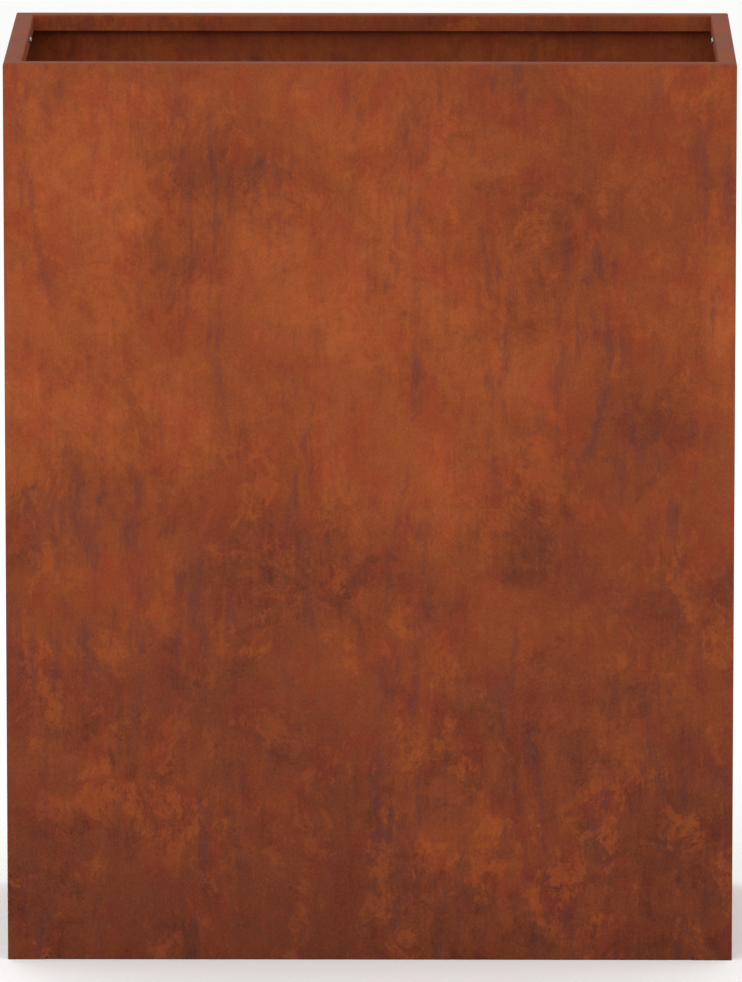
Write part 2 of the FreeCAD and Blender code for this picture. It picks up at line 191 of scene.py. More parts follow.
# %% Ring helpers
def skin(bm, rings, joined=False):
    """Faces over rings of points. The two end rings are capped, or joined to each other."""
    loops = [[bm.verts.new(point) for point in ring] for ring in rings]
    pairs = list(zip(loops, loops[1:]))
    if joined:
        pairs.append((loops[-1], loops[0]))
    else:
        bm.faces.new(loops[0][::-1])
        bm.faces.new(loops[-1])
    for low, high in pairs:
        for k in range(len(low)):
            bm.faces.new((low[k - 1], low[k], high[k], high[k - 1]))


def ring(radius, rise, count=32):
    """Points round the Z axis. The radius is a number or a function of the angle."""
    points = []
    for k in range(count):
        angle = math.tau * k / count
        r = radius(angle) if callable(radius) else radius
        points.append(Vector((r * math.cos(angle), r * math.sin(angle), rise)))
    return points


def moved(rings, place):
    """The rings carried to their place by a matrix."""
    return [[place @ point for point in points] for points in rings]


def standing_at(start, axis, facing):
    """The matrix that stands a piece on its start, with Z along the axis and X towards facing."""
    z = Vector(axis).normalized()
    x = Vector(facing).normalized()
    return Matrix.Translation(start) @ Matrix((x, z.cross(x), z)).transposed().to_4x4()


print("a ring of 32 points has a side of %.2f of its radius" % (2 * math.sin(math.pi / 32)))

# %% [markdown]
# ## From built faces to a finished piece
# Every piece ends in the same way: its faces turn outwards, its curved faces are shaded smooth while
# its edges stay crisp, and it gets its finish, its body and the CAD nodes that it stands for. A CAD
# node may hold several solids, such as eight nuts, so a second function finds each of them.

# %% Piece helpers
SMOOTH_BELOW = math.radians(34)
SAME_POINT = 0.01 * MM


def finished(name, bm, body, slot, material, *stands_for):
    """Turns the built faces into a piece with its finish, on its body, in place of its CAD nodes."""
    bmesh.ops.recalc_face_normals(bm, faces=bm.faces)
    mesh = bpy.data.meshes.new(name)
    bm.to_mesh(mesh)
    bm.free()
    mesh.polygons.foreach_set("use_smooth", [True] * len(mesh.polygons))
    mesh.set_sharp_from_angle(angle=SMOOTH_BELOW)
    mesh.materials.append(material)
    piece = bpy.data.objects.new(name, mesh)
    bpy.context.scene.collection.objects.link(piece)
    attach(piece, body)
    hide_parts(*stands_for)
    return piece


def solids_of(node):
    """The lowest and highest corner of each separate solid in a CAD node."""
    bm = bmesh.new()
    bm.from_mesh(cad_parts[node].data)
    bmesh.ops.remove_doubles(bm, verts=bm.verts, dist=SAME_POINT)
    left = set(bm.verts)
    boxes = []
    while left:
        start = left.pop()
        island = [start]
        for vert in island:
            for edge in vert.link_edges:
                other = edge.other_vert(vert)
                if other in left:
                    left.remove(other)
                    island.append(other)
        corners = [tuple(vert.co) for vert in island]
        boxes.append((Vector(map(min, *corners)), Vector(map(max, *corners))))
    bm.free()
    return sorted(boxes, key=lambda box: tuple(round(c, 4) for c in box[0]))


print("solids in tie_nuts:", len(solids_of("tie_nuts")))

# %% [markdown]
# ## Rust patina: patterns
# Weathering steel is a low-alloy steel that grows a thin dense layer of iron oxide, which protects the
# metal. It starts as orange bloom, then darkens to brown, and rain drags it downwards.
# So the finish is built in the order that nature uses: broad soft clouds, a feathery frayed edge to
# every cloud, upright rain runs with a purple-grey cast, and a fine grain. A picture of rust would be
# easier, but a network of noise has no seams, and it wraps round every fold of the sheet.
# Nothing in rust is a plain oval or a ruled line, so a broad noise pushes every place about a little.

# %% Patterns of rust
DRIFT_SIZE = 120
DRIFT_REACH = 70 * MM
RULED_DRIFT = 0.15
PATTERNS = {
    # name: its places, how wide and how tall its features are in millimetres, detail and roughness
    "worked": ("swayed", 190, 230, 3.0, 0.50),
    "clouds": ("swayed", 150, 165, 5.0, 0.55),
    "closed": ("swayed", 80, 105, 13.0, 0.78),
    "ruddy": ("swayed", 48, 66, 9.0, 0.72),
    "scabs": ("swayed", 44, 62, 13.0, 0.82),
    "frays": ("swayed", 28, 30, 10.0, 0.76),
    "rained": ("ruled", 70, 260, 3.0, 0.50),
    "washed": ("ruled", 22, 90, 10.0, 0.74),
    "runs": ("ruled", 7, 60, 6.0, 0.65),
    "grain": ("spot", 2.6, 2.9, 3.0, 0.80),
}


def drifted(tree, seed):
    """Places on the sheet: as they are, pushed about, pushed a little, and pushed about for blooms."""
    spot = put(tree, "TexCoord").outputs["Object"]
    plate = put(tree, "VectorMath", {0: spot, 1: (seed, seed, 0)}, operation="ADD").outputs["Vector"]
    drift = put(tree, "TexNoise", {"Vector": plate, "Scale": per_metre(DRIFT_SIZE), "Detail": 3.0})
    push = {0: drift.outputs["Color"], 1: [DRIFT_REACH] * 3, 2: [-DRIFT_REACH / 2] * 3}
    sway = put(tree, "VectorMath", push, operation="MULTIPLY_ADD").outputs["Vector"]
    little = {0: sway, 1: [RULED_DRIFT] * 3, 2: plate}
    return {
        "spot": spot,
        "swayed": put(tree, "VectorMath", {0: plate, 1: sway}, operation="ADD").outputs["Vector"],
        "ruled": put(tree, "VectorMath", little, operation="MULTIPLY_ADD").outputs["Vector"],
        "bloomed": put(tree, "VectorMath", {0: spot, 1: sway}, operation="ADD").outputs["Vector"],
    }


def growth(tree, place, wide, tall, detail, rough):
    """Noise whose features are this wide and this tall, in millimetres."""
    stretch = (per_metre(wide), per_metre(wide), per_metre(tall))
    stretched = put(tree, "VectorMath", {0: place, 1: stretch}, operation="MULTIPLY").outputs["Vector"]
    pattern = {"Vector": stretched, "Scale": 1.0, "Detail": detail, "Roughness": rough}
    return put(tree, "TexNoise", pattern).outputs["Fac"]


def bloom(tree, place, centre, half_size, amount):
    """One soft patch of lighter or darker rust: its share of tone, fading out from its centre."""
    scale = Vector([1 / s if s else 0 for s in half_size])
    shift = Vector([-c * s for c, s in zip(centre, scale)])
    offset = put(tree, "VectorMath", {0: place, 1: scale, 2: shift}, operation="MULTIPLY_ADD")
    away = put(tree, "VectorMath", {0: offset.outputs["Vector"]}, operation="LENGTH").outputs["Value"]
    ranges = {"Value": away, "From Min": 0.2, "From Max": 1.3, "To Min": amount, "To Max": 0}
    return put(tree, "MapRange", ranges, interpolation_type="SMOOTHSTEP").outputs["Result"]


print("rust patterns, coarse to fine:", ", ".join(PATTERNS))

# %% [markdown]
# ## Rust patina: masks
# A mask takes the stretch of a pattern that counts and says what it turns into. A narrow stretch gives
# a crisp frayed edge and a wide one a soft edge. Rust is orange where it is young and brown where it
# has closed over. It has red patches, and old purple-grey runs where rain took the orange away.

# %% Masks of rust
MASKS = {
    # name: its pattern, where the stretch starts and ends, and what it turns into at each end
    "worked": ("worked", 0.40, 0.62, 0.45, 1.35),  # rain and hands have worked some areas more
    "young": ("scabs", 0.51, 0.60, 0.0, 0.10),
    "orange": ("scabs", 0.525, 0.58, 0.0, 0.27),
    "closed": ("closed", 0.53, 0.61, 0.0, -0.13),
    "damp_and_painted_shade": ("rise", 0.0, 0.78, -0.25, 0.14),  # lighter near the top and darker towards the foot: partly painted shade of light that falls off downwards, partly the foot of the box staying damp for longer
    "ruddy": ("ruddy", 0.46, 0.60, 0.0, 1.0),
    "rained": ("rained", 0.44, 0.60, 0.10, 0.40),
    "washed": ("washed", 0.47, 0.63, 0.0, 1.0),
    "level": ("upward", 0.35, 0.95, 0.0, 1.0),  # faces that look up get dust and drops, and a painted sheen of the bright room
    "dust_and_sheen_patches": ("frays", 0.36, 0.62, 0.72, 0.36),
}


def rust_masks(tree, patterns):
    """Every mask of the patina, and the products of those that only count together."""
    masks = {}
    for part, (pattern, low, high, start, end) in MASKS.items():
        ranges = {"Value": patterns[pattern], "From Min": low, "From Max": high}
        ranges.update({"To Min": start, "To Max": end})
        masks[part] = put(tree, "MapRange", ranges, interpolation_type="SMOOTHSTEP").outputs["Result"]
    for part, one, other in (
        ("purple", "washed", "rained"), ("flecks", "orange", "worked"), ("dust_and_sheen", "level", "dust_and_sheen_patches")
    ):
        both = {0: masks[one], 1: masks[other]}
        masks[part] = put(tree, "Math", both, operation="MULTIPLY").outputs["Value"]
    return masks


print("rust masks:", ", ".join(MASKS))

# %% [markdown]
# ## Rust patina: tone and colour
# The tone runs from 0, dense brown, to 1, bright orange. Each layer adds its share, and the finer ones
# are strong in the worked areas and faint elsewhere. A ramp turns the tone into colour, and films lie
# over it: the red one multiplies what is under it, the others cover it.
# Oxide isn't a bare metal any more: it isn't metallic, its IOR is near 1.5 and it is very rough. Dense
# brown oxide is a little smoother than the powdery orange bloom.

# %% Tone and colour
RUST_STEPS = (
    (0.00, "#4b2215"),
    (0.20, "#602d19"),
    (0.38, "#71361d"),
    (0.54, "#7e3d20"),
    (0.70, "#8a4523"),
    (0.86, "#954c27"),
    (1.00, "#a0552c"),
)
LAYERS = (
    # pattern, share of the tone, and whether the worked areas show it more
    ("clouds", 0.55, False),
    ("frays", 0.68, True),
    ("runs", 0.30, True),
    ("grain", 0.62, False),
)
FILMS = (
    # mask, colour, and how the film lies
    ("ruddy", "#ffecfa", "MULTIPLY"),
    ("purple", "#48292f", "MIX"),
    ("flecks", "#964a1f", "MIX"),
    # the greyish film on faces that look up is partly dust and partly a painted sheen of the bright room
    ("dust_and_sheen", "#744738", "MIX"),
)
OXIDE_IOR = 1.5
OXIDE_SHINE = 0.10
OXIDE_DEPTH = 0.5 * MM


def rust_tone(tree, tone, patterns, masks, patches):
    """The tone of the rust: the layers, the listed blooms and the scabs, one on another."""
    # the first mask added here paints shade as well as damp: it darkens the tone towards the bottom and
    # lightens it near the top
    total = put(tree, "Math", {0: tone, 1: masks["damp_and_painted_shade"]}, operation="ADD").outputs["Value"]
    for part, share, patchy in LAYERS:
        centred = put(tree, "Math", {0: patterns[part], 1: 0.5}, operation="SUBTRACT").outputs["Value"]
        if patchy:
            shown = {0: centred, 1: masks["worked"]}
            centred = put(tree, "Math", shown, operation="MULTIPLY").outputs["Value"]
        laid = {0: centred, 1: share, 2: total}
        total = put(tree, "Math", laid, operation="MULTIPLY_ADD").outputs["Value"]
    for patch in patches + [masks["young"], masks["closed"]]:
        total = put(tree, "Math", {0: total, 1: patch}, operation="ADD").outputs["Value"]
    return total


def rust_colour(tree, total, masks):
    """The colour of the rust: the ramp of its tone, under its films."""
    ramp = put(tree, "ValToRGB", {"Fac": total})
    stops = ramp.color_ramp.elements
    while len(stops) < len(RUST_STEPS):
        stops.new(0.5)
    for stop, (position, code) in zip(stops, RUST_STEPS):
        stop.position = position
        stop.color = linear(code)
    colour = ramp.outputs["Color"]
    for part, code, how in FILMS:
        film = {0: masks[part], 6: colour, 7: linear(code)}
        colour = put(tree, "Mix", film, data_type="RGBA", blend_type=how).outputs[2]
    return colour


def patina(name, blooms, seed, tone=0.545):
    """Rust patina on sheet steel, with a few listed blooms and the rest grown from noise."""
    material, tree, skin_shader = new_finish(name)
    places = drifted(tree, seed)
    patterns = {part: growth(tree, places[where], *size) for part, (where, *size) in PATTERNS.items()}
    patterns["rise"] = put(tree, "SeparateXYZ", {0: places["spot"]}).outputs["Z"]
    facing = put(tree, "NewGeometry").outputs["Normal"]
    patterns["upward"] = put(tree, "SeparateXYZ", {0: facing}).outputs["Z"]
    masks = rust_masks(tree, patterns)
    patches = [bloom(tree, places["bloomed"], *one) for one in blooms]
    total = rust_tone(tree, tone, patterns, masks, patches)
    tree.links.new(rust_colour(tree, total, masks), skin_shader.inputs["Base Color"])

    powdery = {"Value": total, "From Min": 0.2, "From Max": 0.8, "To Min": 0.66, "To Max": 0.92}
    tree.links.new(put(tree, "MapRange", powdery).outputs["Result"], skin_shader.inputs["Roughness"])
    rises = {0: patterns["grain"], 1: 0.6, 2: patterns["frays"]}
    height = put(tree, "Math", rises, operation="MULTIPLY_ADD").outputs["Value"]
    relief = put(tree, "Bump", {"Height": height, "Strength": 0.5, "Distance": OXIDE_DEPTH})
    tree.links.new(relief.outputs["Normal"], skin_shader.inputs["Normal"])
    skin_shader.inputs["IOR"].default_value = OXIDE_IOR
    skin_shader.inputs["Specular IOR Level"].default_value = OXIDE_SHINE
    return material


print("rust tones: %d steps under %d films" % (len(RUST_STEPS), len(FILMS)))

# %% [markdown]
# ## Rust patina: where the clouds lie
# Noise alone would put the broad clouds anywhere. A few listed blooms say where each wall is
# bright or dark, and the drift and the frays hide their plain shape. The two ends share one finish, and
# everything inside shares a darker one that has no blooms: painted shade, because little light reaches
# it.
# A bloom is its centre and its half size, in metres, and its share of the tone.

# %% Clouds on each wall
FRONT_BLOOMS = (
    ((-0.29, 0, 0.85), (0.10, 0, 0.09), 0.16),  # bright left shoulder
    ((-0.34, 0, 0.72), (0.10, 0, 0.07), 0.10),
    ((-0.16, 0, 0.89), (0.12, 0, 0.06), -0.26),  # brown cloud, with a tail down to the left
    ((-0.20, 0, 0.80), (0.05, 0, 0.04), -0.14),
    ((-0.06, 0, 0.74), (0.11, 0, 0.07), 0.12),  # orange middle under the cloud
    ((0.05, 0, 0.85), (0.05, 0, 0.06), 0.06),
    ((-0.36, 0, 0.59), (0.10, 0, 0.06), 0.15),  # band on the left edge
    ((0.385, 0, 0.74), (0.03, 0, 0.10), 0.20),  # light strip down the right edge
    ((0.24, 0, 0.86), (0.19, 0, 0.18), -0.20),
    ((0.19, 0, 0.66), (0.08, 0, 0.05), 0.12),  # frayed orange patches
    ((0.08, 0, 0.52), (0.05, 0, 0.09), 0.08),
    ((0.10, 0, 0.13), (0.07, 0, 0.06), 0.13),
    ((0.14, 0, 0.46), (0.05, 0, 0.04), -0.12),
    ((0.27, 0, 0.55), (0.14, 0, 0.18), -0.14),
    ((-0.13, 0, 0.45), (0.12, 0, 0.09), -0.15),  # dark region below the middle
    ((-0.16, 0, 0.28), (0.20, 0, 0.10), -0.08),
    ((-0.34, 0, 0.21), (0.08, 0, 0.05), 0.10),
    ((0.36, 0, 0.08), (0.09, 0, 0.14), -0.10),
    ((0.00, 0, 1.02), (0.50, 0, 0.08), -0.08),
)
REAR_BLOOMS = (
    ((0.24, 0, 0.82), (0.16, 0, 0.09), 0.15),
    ((-0.02, 0, 0.90), (0.13, 0, 0.06), -0.20),
    ((-0.30, 0, 0.74), (0.08, 0, 0.14), 0.14),
    ((0.10, 0, 0.60), (0.14, 0, 0.07), -0.14),
    ((-0.14, 0, 0.56), (0.12, 0, 0.16), -0.12),
    ((0.33, 0, 0.52), (0.07, 0, 0.10), 0.12),
    ((-0.30, 0, 0.34), (0.10, 0, 0.08), 0.10),
    ((0.06, 0, 0.30), (0.15, 0, 0.09), -0.08),
    ((0.24, 0, 0.16), (0.09, 0, 0.06), 0.12),
    # darker band along the top: painted shade for the back lip and the top of the inside, which the
    # opening shows; it darkens the outside top too
    ((0.00, 0, 1.02), (0.50, 0, 0.08), -0.18),
)
END_BLOOMS = (
    ((0, -0.08, 0.80), (0, 0.09, 0.12), 0.14),
    ((0, 0.10, 0.88), (0, 0.08, 0.07), -0.16),
    ((0, 0.12, 0.66), (0, 0.06, 0.10), 0.10),
    ((0, -0.04, 0.56), (0, 0.12, 0.06), -0.14),
    ((0, 0.08, 0.42), (0, 0.10, 0.16), -0.12),
    ((0, -0.12, 0.36), (0, 0.06, 0.09), 0.12),
    ((0, 0.04, 0.16), (0, 0.09, 0.05), 0.10),
    ((0, 0.00, 1.02), (0, 0.30, 0.08), -0.08),
)
front_patina = patina("rust patina, front", FRONT_BLOOMS, seed=0.0)
rear_patina = patina("rust patina, rear", REAR_BLOOMS, seed=3.7)
end_patina = patina("rust patina, ends", END_BLOOMS, seed=7.9)
# the inside's lower tone is painted shade: little light reaches the inside of the box
inner_patina_shaded = patina("rust patina, inside, painted shade", (), seed=11.3, tone=0.44)
counts = (len(FRONT_BLOOMS), len(REAR_BLOOMS), len(END_BLOOMS))
print("blooms: %d on the front, %d on the rear, %d on each end" % counts)

# %% [markdown]
# ## Weld, zinc and polyamide
# A fillet weld rusts darker than the sheet, because its heat has burnt the metal round it. The small
# fasteners are steel with an electroplated zinc coat, which keeps metallic at 1 and a soft bluish shine
# broken by passivation. The foot pads are moulded polyamide: black, with a fine spark-eroded grain.

# %% Other finishes
def weld_finish():
    """Rusted weld metal: brown, with darker heat-tinted patches."""
    material, tree, skin_shader = new_finish("rusted weld metal")
    spot = put(tree, "TexCoord").outputs["Object"]
    scorch = {"Vector": spot, "Scale": per_metre(14), "Detail": 6.0, "Roughness": 0.65}
    patches = put(tree, "TexNoise", scorch)
    ramp = put(tree, "ValToRGB", {"Fac": patches.outputs["Fac"]})
    ramp.color_ramp.elements[0].position = 0.32
    ramp.color_ramp.elements[0].color = linear("#3a2420")
    ramp.color_ramp.elements[1].position = 0.70
    ramp.color_ramp.elements[1].color = linear("#7a4129")
    tree.links.new(ramp.outputs["Color"], skin_shader.inputs["Base Color"])
    skin_shader.inputs["Roughness"].default_value = 0.62
    spatter = put(tree, "TexNoise", {"Vector": spot, "Scale": per_metre(1.5), "Detail": 3.0})
    relief = put(tree, "Bump", {"Height": spatter.outputs["Fac"], "Strength": 0.5, "Distance": 0.3 * MM})
    tree.links.new(relief.outputs["Normal"], skin_shader.inputs["Normal"])
    return material


def zinc_finish():
    """Electroplated zinc: a metal with a soft shine, clouded and a little bluish."""
    material, tree, skin_shader = new_finish("zinc plated steel")
    spot = put(tree, "TexCoord").outputs["Object"]
    clouded = {"Vector": spot, "Scale": per_metre(5), "Detail": 5.0, "Roughness": 0.6}
    cloud = put(tree, "TexNoise", clouded)
    ramp = put(tree, "ValToRGB", {"Fac": cloud.outputs["Fac"]})
    ramp.color_ramp.elements[0].position = 0.3
    ramp.color_ramp.elements[0].color = linear("#8f9293")
    ramp.color_ramp.elements[1].position = 0.7
    ramp.color_ramp.elements[1].color = linear("#b3b6b8")
    tree.links.new(ramp.outputs["Color"], skin_shader.inputs["Base Color"])
    skin_shader.inputs["Metallic"].default_value = 1.0
    ranges = {"Value": cloud.outputs["Fac"], "From Min": 0.3, "From Max": 0.7}
    dull = put(tree, "MapRange", {**ranges, "To Min": 0.36, "To Max": 0.54})
    tree.links.new(dull.outputs["Result"], skin_shader.inputs["Roughness"])
    marks = put(tree, "TexNoise", {"Vector": spot, "Scale": per_metre(0.8), "Detail": 2.0})
    relief = put(tree, "Bump", {"Height": marks.outputs["Fac"], "Strength": 0.25, "Distance": 0.05 * MM})
    tree.links.new(relief.outputs["Normal"], skin_shader.inputs["Normal"])
    return material


def polyamide_finish():
    """Black moulded polyamide with an eroded grain."""
    material, tree, skin_shader = new_finish("moulded black polyamide")
    spot = put(tree, "TexCoord").outputs["Object"]
    eroded = put(tree, "TexVoronoi", {"Vector": spot, "Scale": per_metre(0.9)})
    ramp = put(tree, "ValToRGB", {"Fac": eroded.outputs["Distance"]})
    ramp.color_ramp.elements[0].color = linear("#1d1d1f")
    ramp.color_ramp.elements[1].color = linear("#2b2b2d")
    tree.links.new(ramp.outputs["Color"], skin_shader.inputs["Base Color"])
    worn = put(tree, "TexNoise", {"Vector": spot, "Scale": per_metre(12), "Detail": 4.0})
    ranges = {"Value": worn.outputs["Fac"], "From Min": 0.3, "From Max": 0.7}
    dull = put(tree, "MapRange", {**ranges, "To Min": 0.42, "To Max": 0.62})
    tree.links.new(dull.outputs["Result"], skin_shader.inputs["Roughness"])
    grained = {"Height": eroded.outputs["Distance"], "Strength": 0.3, "Distance": 0.08 * MM}
    relief = put(tree, "Bump", grained)
    tree.links.new(relief.outputs["Normal"], skin_shader.inputs["Normal"])
    skin_shader.inputs["IOR"].default_value = 1.53
    return material


weld_metal = weld_finish()
zinc = zinc_finish()
polyamide = polyamide_finish()
print("materials:", len(bpy.data.materials))

# %% [markdown]
# ## The folded walls
# Each wall is one flat blank of 2 mm sheet that a press brake folds four times: the bottom flange, the
# wall, the rim and the lip. A mesh can be made the same way. The blank is a grid of cells, with the
# cells left out where the relief notches are cut, and a rule says where each corner of the grid goes
# after folding. Both faces and every cut edge come from that one grid, so the sheet is a closed solid
# with its true thickness. Subdividing a box and adding thickness would be quicker, but it can't give
# 45 degree mitres. Real sheet is never quite flat, so the big faces wander by a fraction of 1 mm.

# %% The blank and its folds
HALF_W, HALF_D = WIDTH / 2, DEPTH / 2
SHEET = 2.0 * MM
BEND = 2.5 * MM
RIM = 20.0 * MM
LIP = 18.0 * MM
FLANGE = (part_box("front_panel")[1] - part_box("front_panel")[0]).y
RELIEF_INSET = 43.0 * MM
RELIEF_WIDTH = 2.0 * MM
RELIEF_HEIGHT = 3.0 * MM
CORNER_ROUND = 1.5 * MM
CORNER_CUT = CORNER_ROUND * (1 - math.sqrt(0.5))
MITRE_REACH = 40.0 * MM
GRID_STEP = 9.0 * MM
ARC_STEPS = 5
WANDER = 0.45 * MM
WANDER_LENGTH = 300 * MM
STILL_MARGIN = 60 * MM


def evenly(start, end, step):
    """Places from start to end, both included, about one step apart."""
    count = max(1, round(abs(end - start) / step))
    return [start + (end - start) * k / count for k in range(count + 1)]


def folded_rows(corners):
    """Points up the outside of the folds, each with its inward direction."""
    rows = []
    last = len(corners) - 2
    for k, (a, b) in enumerate(zip(corners, corners[1:])):
        along = (b - a).normalized()
        inward = Vector((along.y, -along.x))
        start = a + along * (BEND if k else 0)
        end = b - along * (BEND if k < last else 0)
        for share in evenly(0, 1, GRID_STEP / (end - start).length):
            rows.append((start.lerp(end, share), inward))
        if k < last:
            centre = end + inward * BEND
            for i in range(1, ARC_STEPS):
                angle = math.pi / 2 * i / ARC_STEPS
                outward = along * math.sin(angle) - inward * math.cos(angle)
                rows.append((centre + outward * BEND, -outward))
    return rows


def stations(length):
    """Places along half a wall, from its middle to its rounded corner, with both sides of a notch."""
    half = length / 2
    notch = half - RELIEF_INSET
    places = evenly(0, notch - RELIEF_WIDTH / 2, GRID_STEP)
    places += evenly(notch + RELIEF_WIDTH / 2, half - CORNER_ROUND, GRID_STEP)
    for degrees in (20, 34, 45):
        places.append(half - CORNER_ROUND + CORNER_ROUND * math.sin(math.radians(degrees)))
    return places


def folded_place(x, flat, half, out, quarters, on_wall):
    """Where a point of the blank lands: mitred, ground round at the corner, and not quite flat."""
    reached = min(1.0, max(0.0, (abs(x) - half + MITRE_REACH) / (MITRE_REACH - CORNER_CUT)))
    far = abs(x) - max(0.0, flat.x - CORNER_CUT) * reached
    past = max(0.0, far - half + CORNER_ROUND)
    ground = CORNER_ROUND - math.sqrt(max(0.0, CORNER_ROUND**2 - past**2))
    edge = min(half - far, flat.y, HEIGHT - flat.y)
    calm = min(1.0, max(0.0, edge / STILL_MARGIN)) if on_wall else 0.0
    seat = Vector((x, flat.y, quarters * 5.0)) / WANDER_LENGTH
    wander = noise.noise(seat) * WANDER * calm
    return Vector((math.copysign(far, x), max(flat.x, ground) - out + wander, flat.y))


def blank_cells(places, notch, sill, heel):
    """The cells of the flat blank, without those that the relief notches take away."""
    cells = []
    for j in range(len(places) - 1):
        middle = abs(places[j] + places[j + 1]) / 2
        steps = [(k, k + 1) for k in range(sill, heel - 1)]
        if middle < notch - RELIEF_WIDTH / 2:
            steps += [(k, k + 1) for k in range(sill)]
        elif middle > notch + RELIEF_WIDTH / 2:
            steps.append((heel, sill))
        cells += [((j, a), (j + 1, a), (j + 1, b), (j, b)) for a, b in steps]
    return cells


print("a row of the front's blank has %d places" % (2 * len(stations(WIDTH)) - 1))

# %% [markdown]
# ## Four walls from one rule
# The same rule makes all four walls: each is folded as if it were the front, then turned about the box
# by quarter turns. The cut edges are found by themselves, because a side that only one cell has is an
# edge of the blank. A small bevel takes the burr off every edge that is sharp.

# %% Walls
BURR = 0.2 * MM
SHARP_ANGLE = math.radians(50)


def wall(name, node, length, out, quarters, material):
    """One folded wall along X with its outside at y = -out, turned about the box by quarter turns."""
    profile = ((FLANGE, 0), (0, 0), (0, HEIGHT), (RIM, HEIGHT), (RIM, HEIGHT - LIP))
    rows = folded_rows([Vector(corner) for corner in profile])
    sill = next(k for k, (point, _) in enumerate(rows) if point.x == 0 and point.y >= BEND)
    rows[sill] = (Vector((0, RELIEF_HEIGHT)), rows[sill][1])
    heel = len(rows)
    rows.append((Vector((0, 0)), rows[sill][1]))
    right = stations(length)
    places = [-x for x in right[:0:-1]] + right
    turn = Matrix.Rotation(math.pi / 2 * quarters, 4, "Z")
    bm = bmesh.new()
    made = {}

    def vert(corner, depth):
        """The vertex of a corner of the blank, on the outside (depth 0) or the inside of the sheet."""
        if (corner, depth) not in made:
            point, inward = rows[corner[1]]
            flat = point + inward * depth
            place = folded_place(places[corner[0]], flat, length / 2, out, quarters, inward.x == 1)
            made[(corner, depth)] = bm.verts.new(turn @ place)
        return made[(corner, depth)]

    sides = set()
    for cell in blank_cells(places, length / 2 - RELIEF_INSET, sill, heel):
        bm.faces.new([vert(corner, 0) for corner in cell])
        bm.faces.new([vert(corner, SHEET) for corner in cell[::-1]])
        sides.update(zip(cell, cell[1:] + cell[:1]))
    for a, b in sorted(sides):
        if (b, a) not in sides:
            bm.faces.new((vert(b, 0), vert(a, 0), vert(a, SHEET), vert(b, SHEET)))
    sharp = [e for e in bm.edges if e.calc_face_angle(0) > SHARP_ANGLE]
    bmesh.ops.bevel(bm, geom=sharp, offset=BURR, segments=1, affect="EDGES", clamp_overlap=True)
    piece = finished(name, bm, "planter", "weathering_steel", material, node)
    print("%s: %d faces" % (name, len(piece.data.polygons)))


wall("front_sheet", "front_panel", WIDTH, HALF_D, 0, front_patina)
wall("right_end_sheet", "right_end_panel", DEPTH, HALF_W, 1, end_patina)
wall("rear_sheet", "rear_panel", WIDTH, HALF_D, 2, rear_patina)
wall("left_end_sheet", "left_end_panel", DEPTH, HALF_W, 3, end_patina)

# %% [markdown]
# ## Plates, angles, channels and brackets
# The pieces of the base have the right shape in CAD already, but their edges are perfectly sharp, and
# no cut or rolled edge is. Each is copied, its flat faces are made whole again, and its edges get a
# small round that catches the light. A modifier on the CAD piece would look the same, but a copy gives
# a clean mesh of its own.

# %% Base pieces and tie bars
EDGE_ROUND = 0.35 * MM
SAME_PLANE = math.radians(1)
CORNER_ANGLE = math.radians(30)
CORNERS = {"front_left": (-1, -1), "front_right": (1, -1), "rear_left": (-1, 1), "rear_right": (1, 1)}
INNER_PIECES = (
    ["base_plate"]
    + ["ledge_" + side for side in ("front", "rear", "left", "right")]
    + ["tie_bar_" + side for side in ("left", "right")]
    + ["base_stiffener_" + side for side in ("left", "centre", "right")]
    + ["foot_bracket_" + corner for corner in CORNERS]
)


def softened(node):
    """A copy of a CAD node with its sharp edges rounded."""
    bm = bmesh.new()
    bm.from_mesh(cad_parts[node].data)
    bmesh.ops.remove_doubles(bm, verts=bm.verts, dist=SAME_POINT)
    bmesh.ops.dissolve_limit(bm, angle_limit=SAME_PLANE, verts=bm.verts, edges=bm.edges)
    sharp = [e for e in bm.edges if e.calc_face_angle(0) > CORNER_ANGLE]
    bmesh.ops.bevel(
        bm, geom=sharp, offset=EDGE_ROUND, segments=2, profile=0.5, affect="EDGES", clamp_overlap=True
    )
    finished(node + "_dressed", bm, "planter", "weathering_steel", inner_patina_shaded, node)


for node in INNER_PIECES:
    softened(node)
print("dressed pieces:", len(INNER_PIECES))

# %% [markdown]
# ## Weld beads
# A hand-laid fillet weld is a row of overlapping puddles, each a crescent about 2.4 mm further on. The
# bead is a skin over small rings, whose bulge rises and falls with the puddles and wanders a little.
# The crescent comes from letting the middle of each ring run ahead of its sides.

# %% Weld beads
RIPPLE = 2.4 * MM
RINGS_PER_RIPPLE = 5
BEAD_POINTS = 6
CRESCENT = 0.9 * MM
HOLLOW = 0.22  # how far its face dips below a quarter round, as a share of its leg
END_SHARE = 0.55  # its size at each end, where the arc starts and stops
END_LEGS = 1.5
SLIMMEST = 0.93
UNEVEN = 0.05
SLOW_WAVES = 60  # in each metre


def bead(bm, root, run, side_a, side_b, leg, length):
    """A rippled fillet weld from its root along its run, between the two faces of a corner."""
    rings = []
    count = round(length / RIPPLE) * RINGS_PER_RIPPLE
    for i in range(count + 1):
        along = length * i / count
        puddle = 0.5 + 0.5 * math.cos(math.tau * along / RIPPLE)
        slow = noise.noise((root + run * along) * SLOW_WAVES)
        taper = min(1.0, END_SHARE + min(along, length - along) / (END_LEGS * leg))
        size = leg * taper * (SLIMMEST + UNEVEN * puddle + UNEVEN * slow)
        points = [root + run * along]
        for k in range(BEAD_POINTS):
            angle = math.pi / 2 * k / (BEAD_POINTS - 1)
            bulge = 1 - HOLLOW * math.sin(2 * angle)
            ahead = CRESCENT * math.sin(2 * angle) * taper if 0 < i < count else 0
            toe = (side_a * math.cos(angle) + side_b * math.sin(angle)) * size * bulge
            points.append(root + run * min(length, along + ahead) + toe)
        rings.append(points)
    skin(bm, rings)


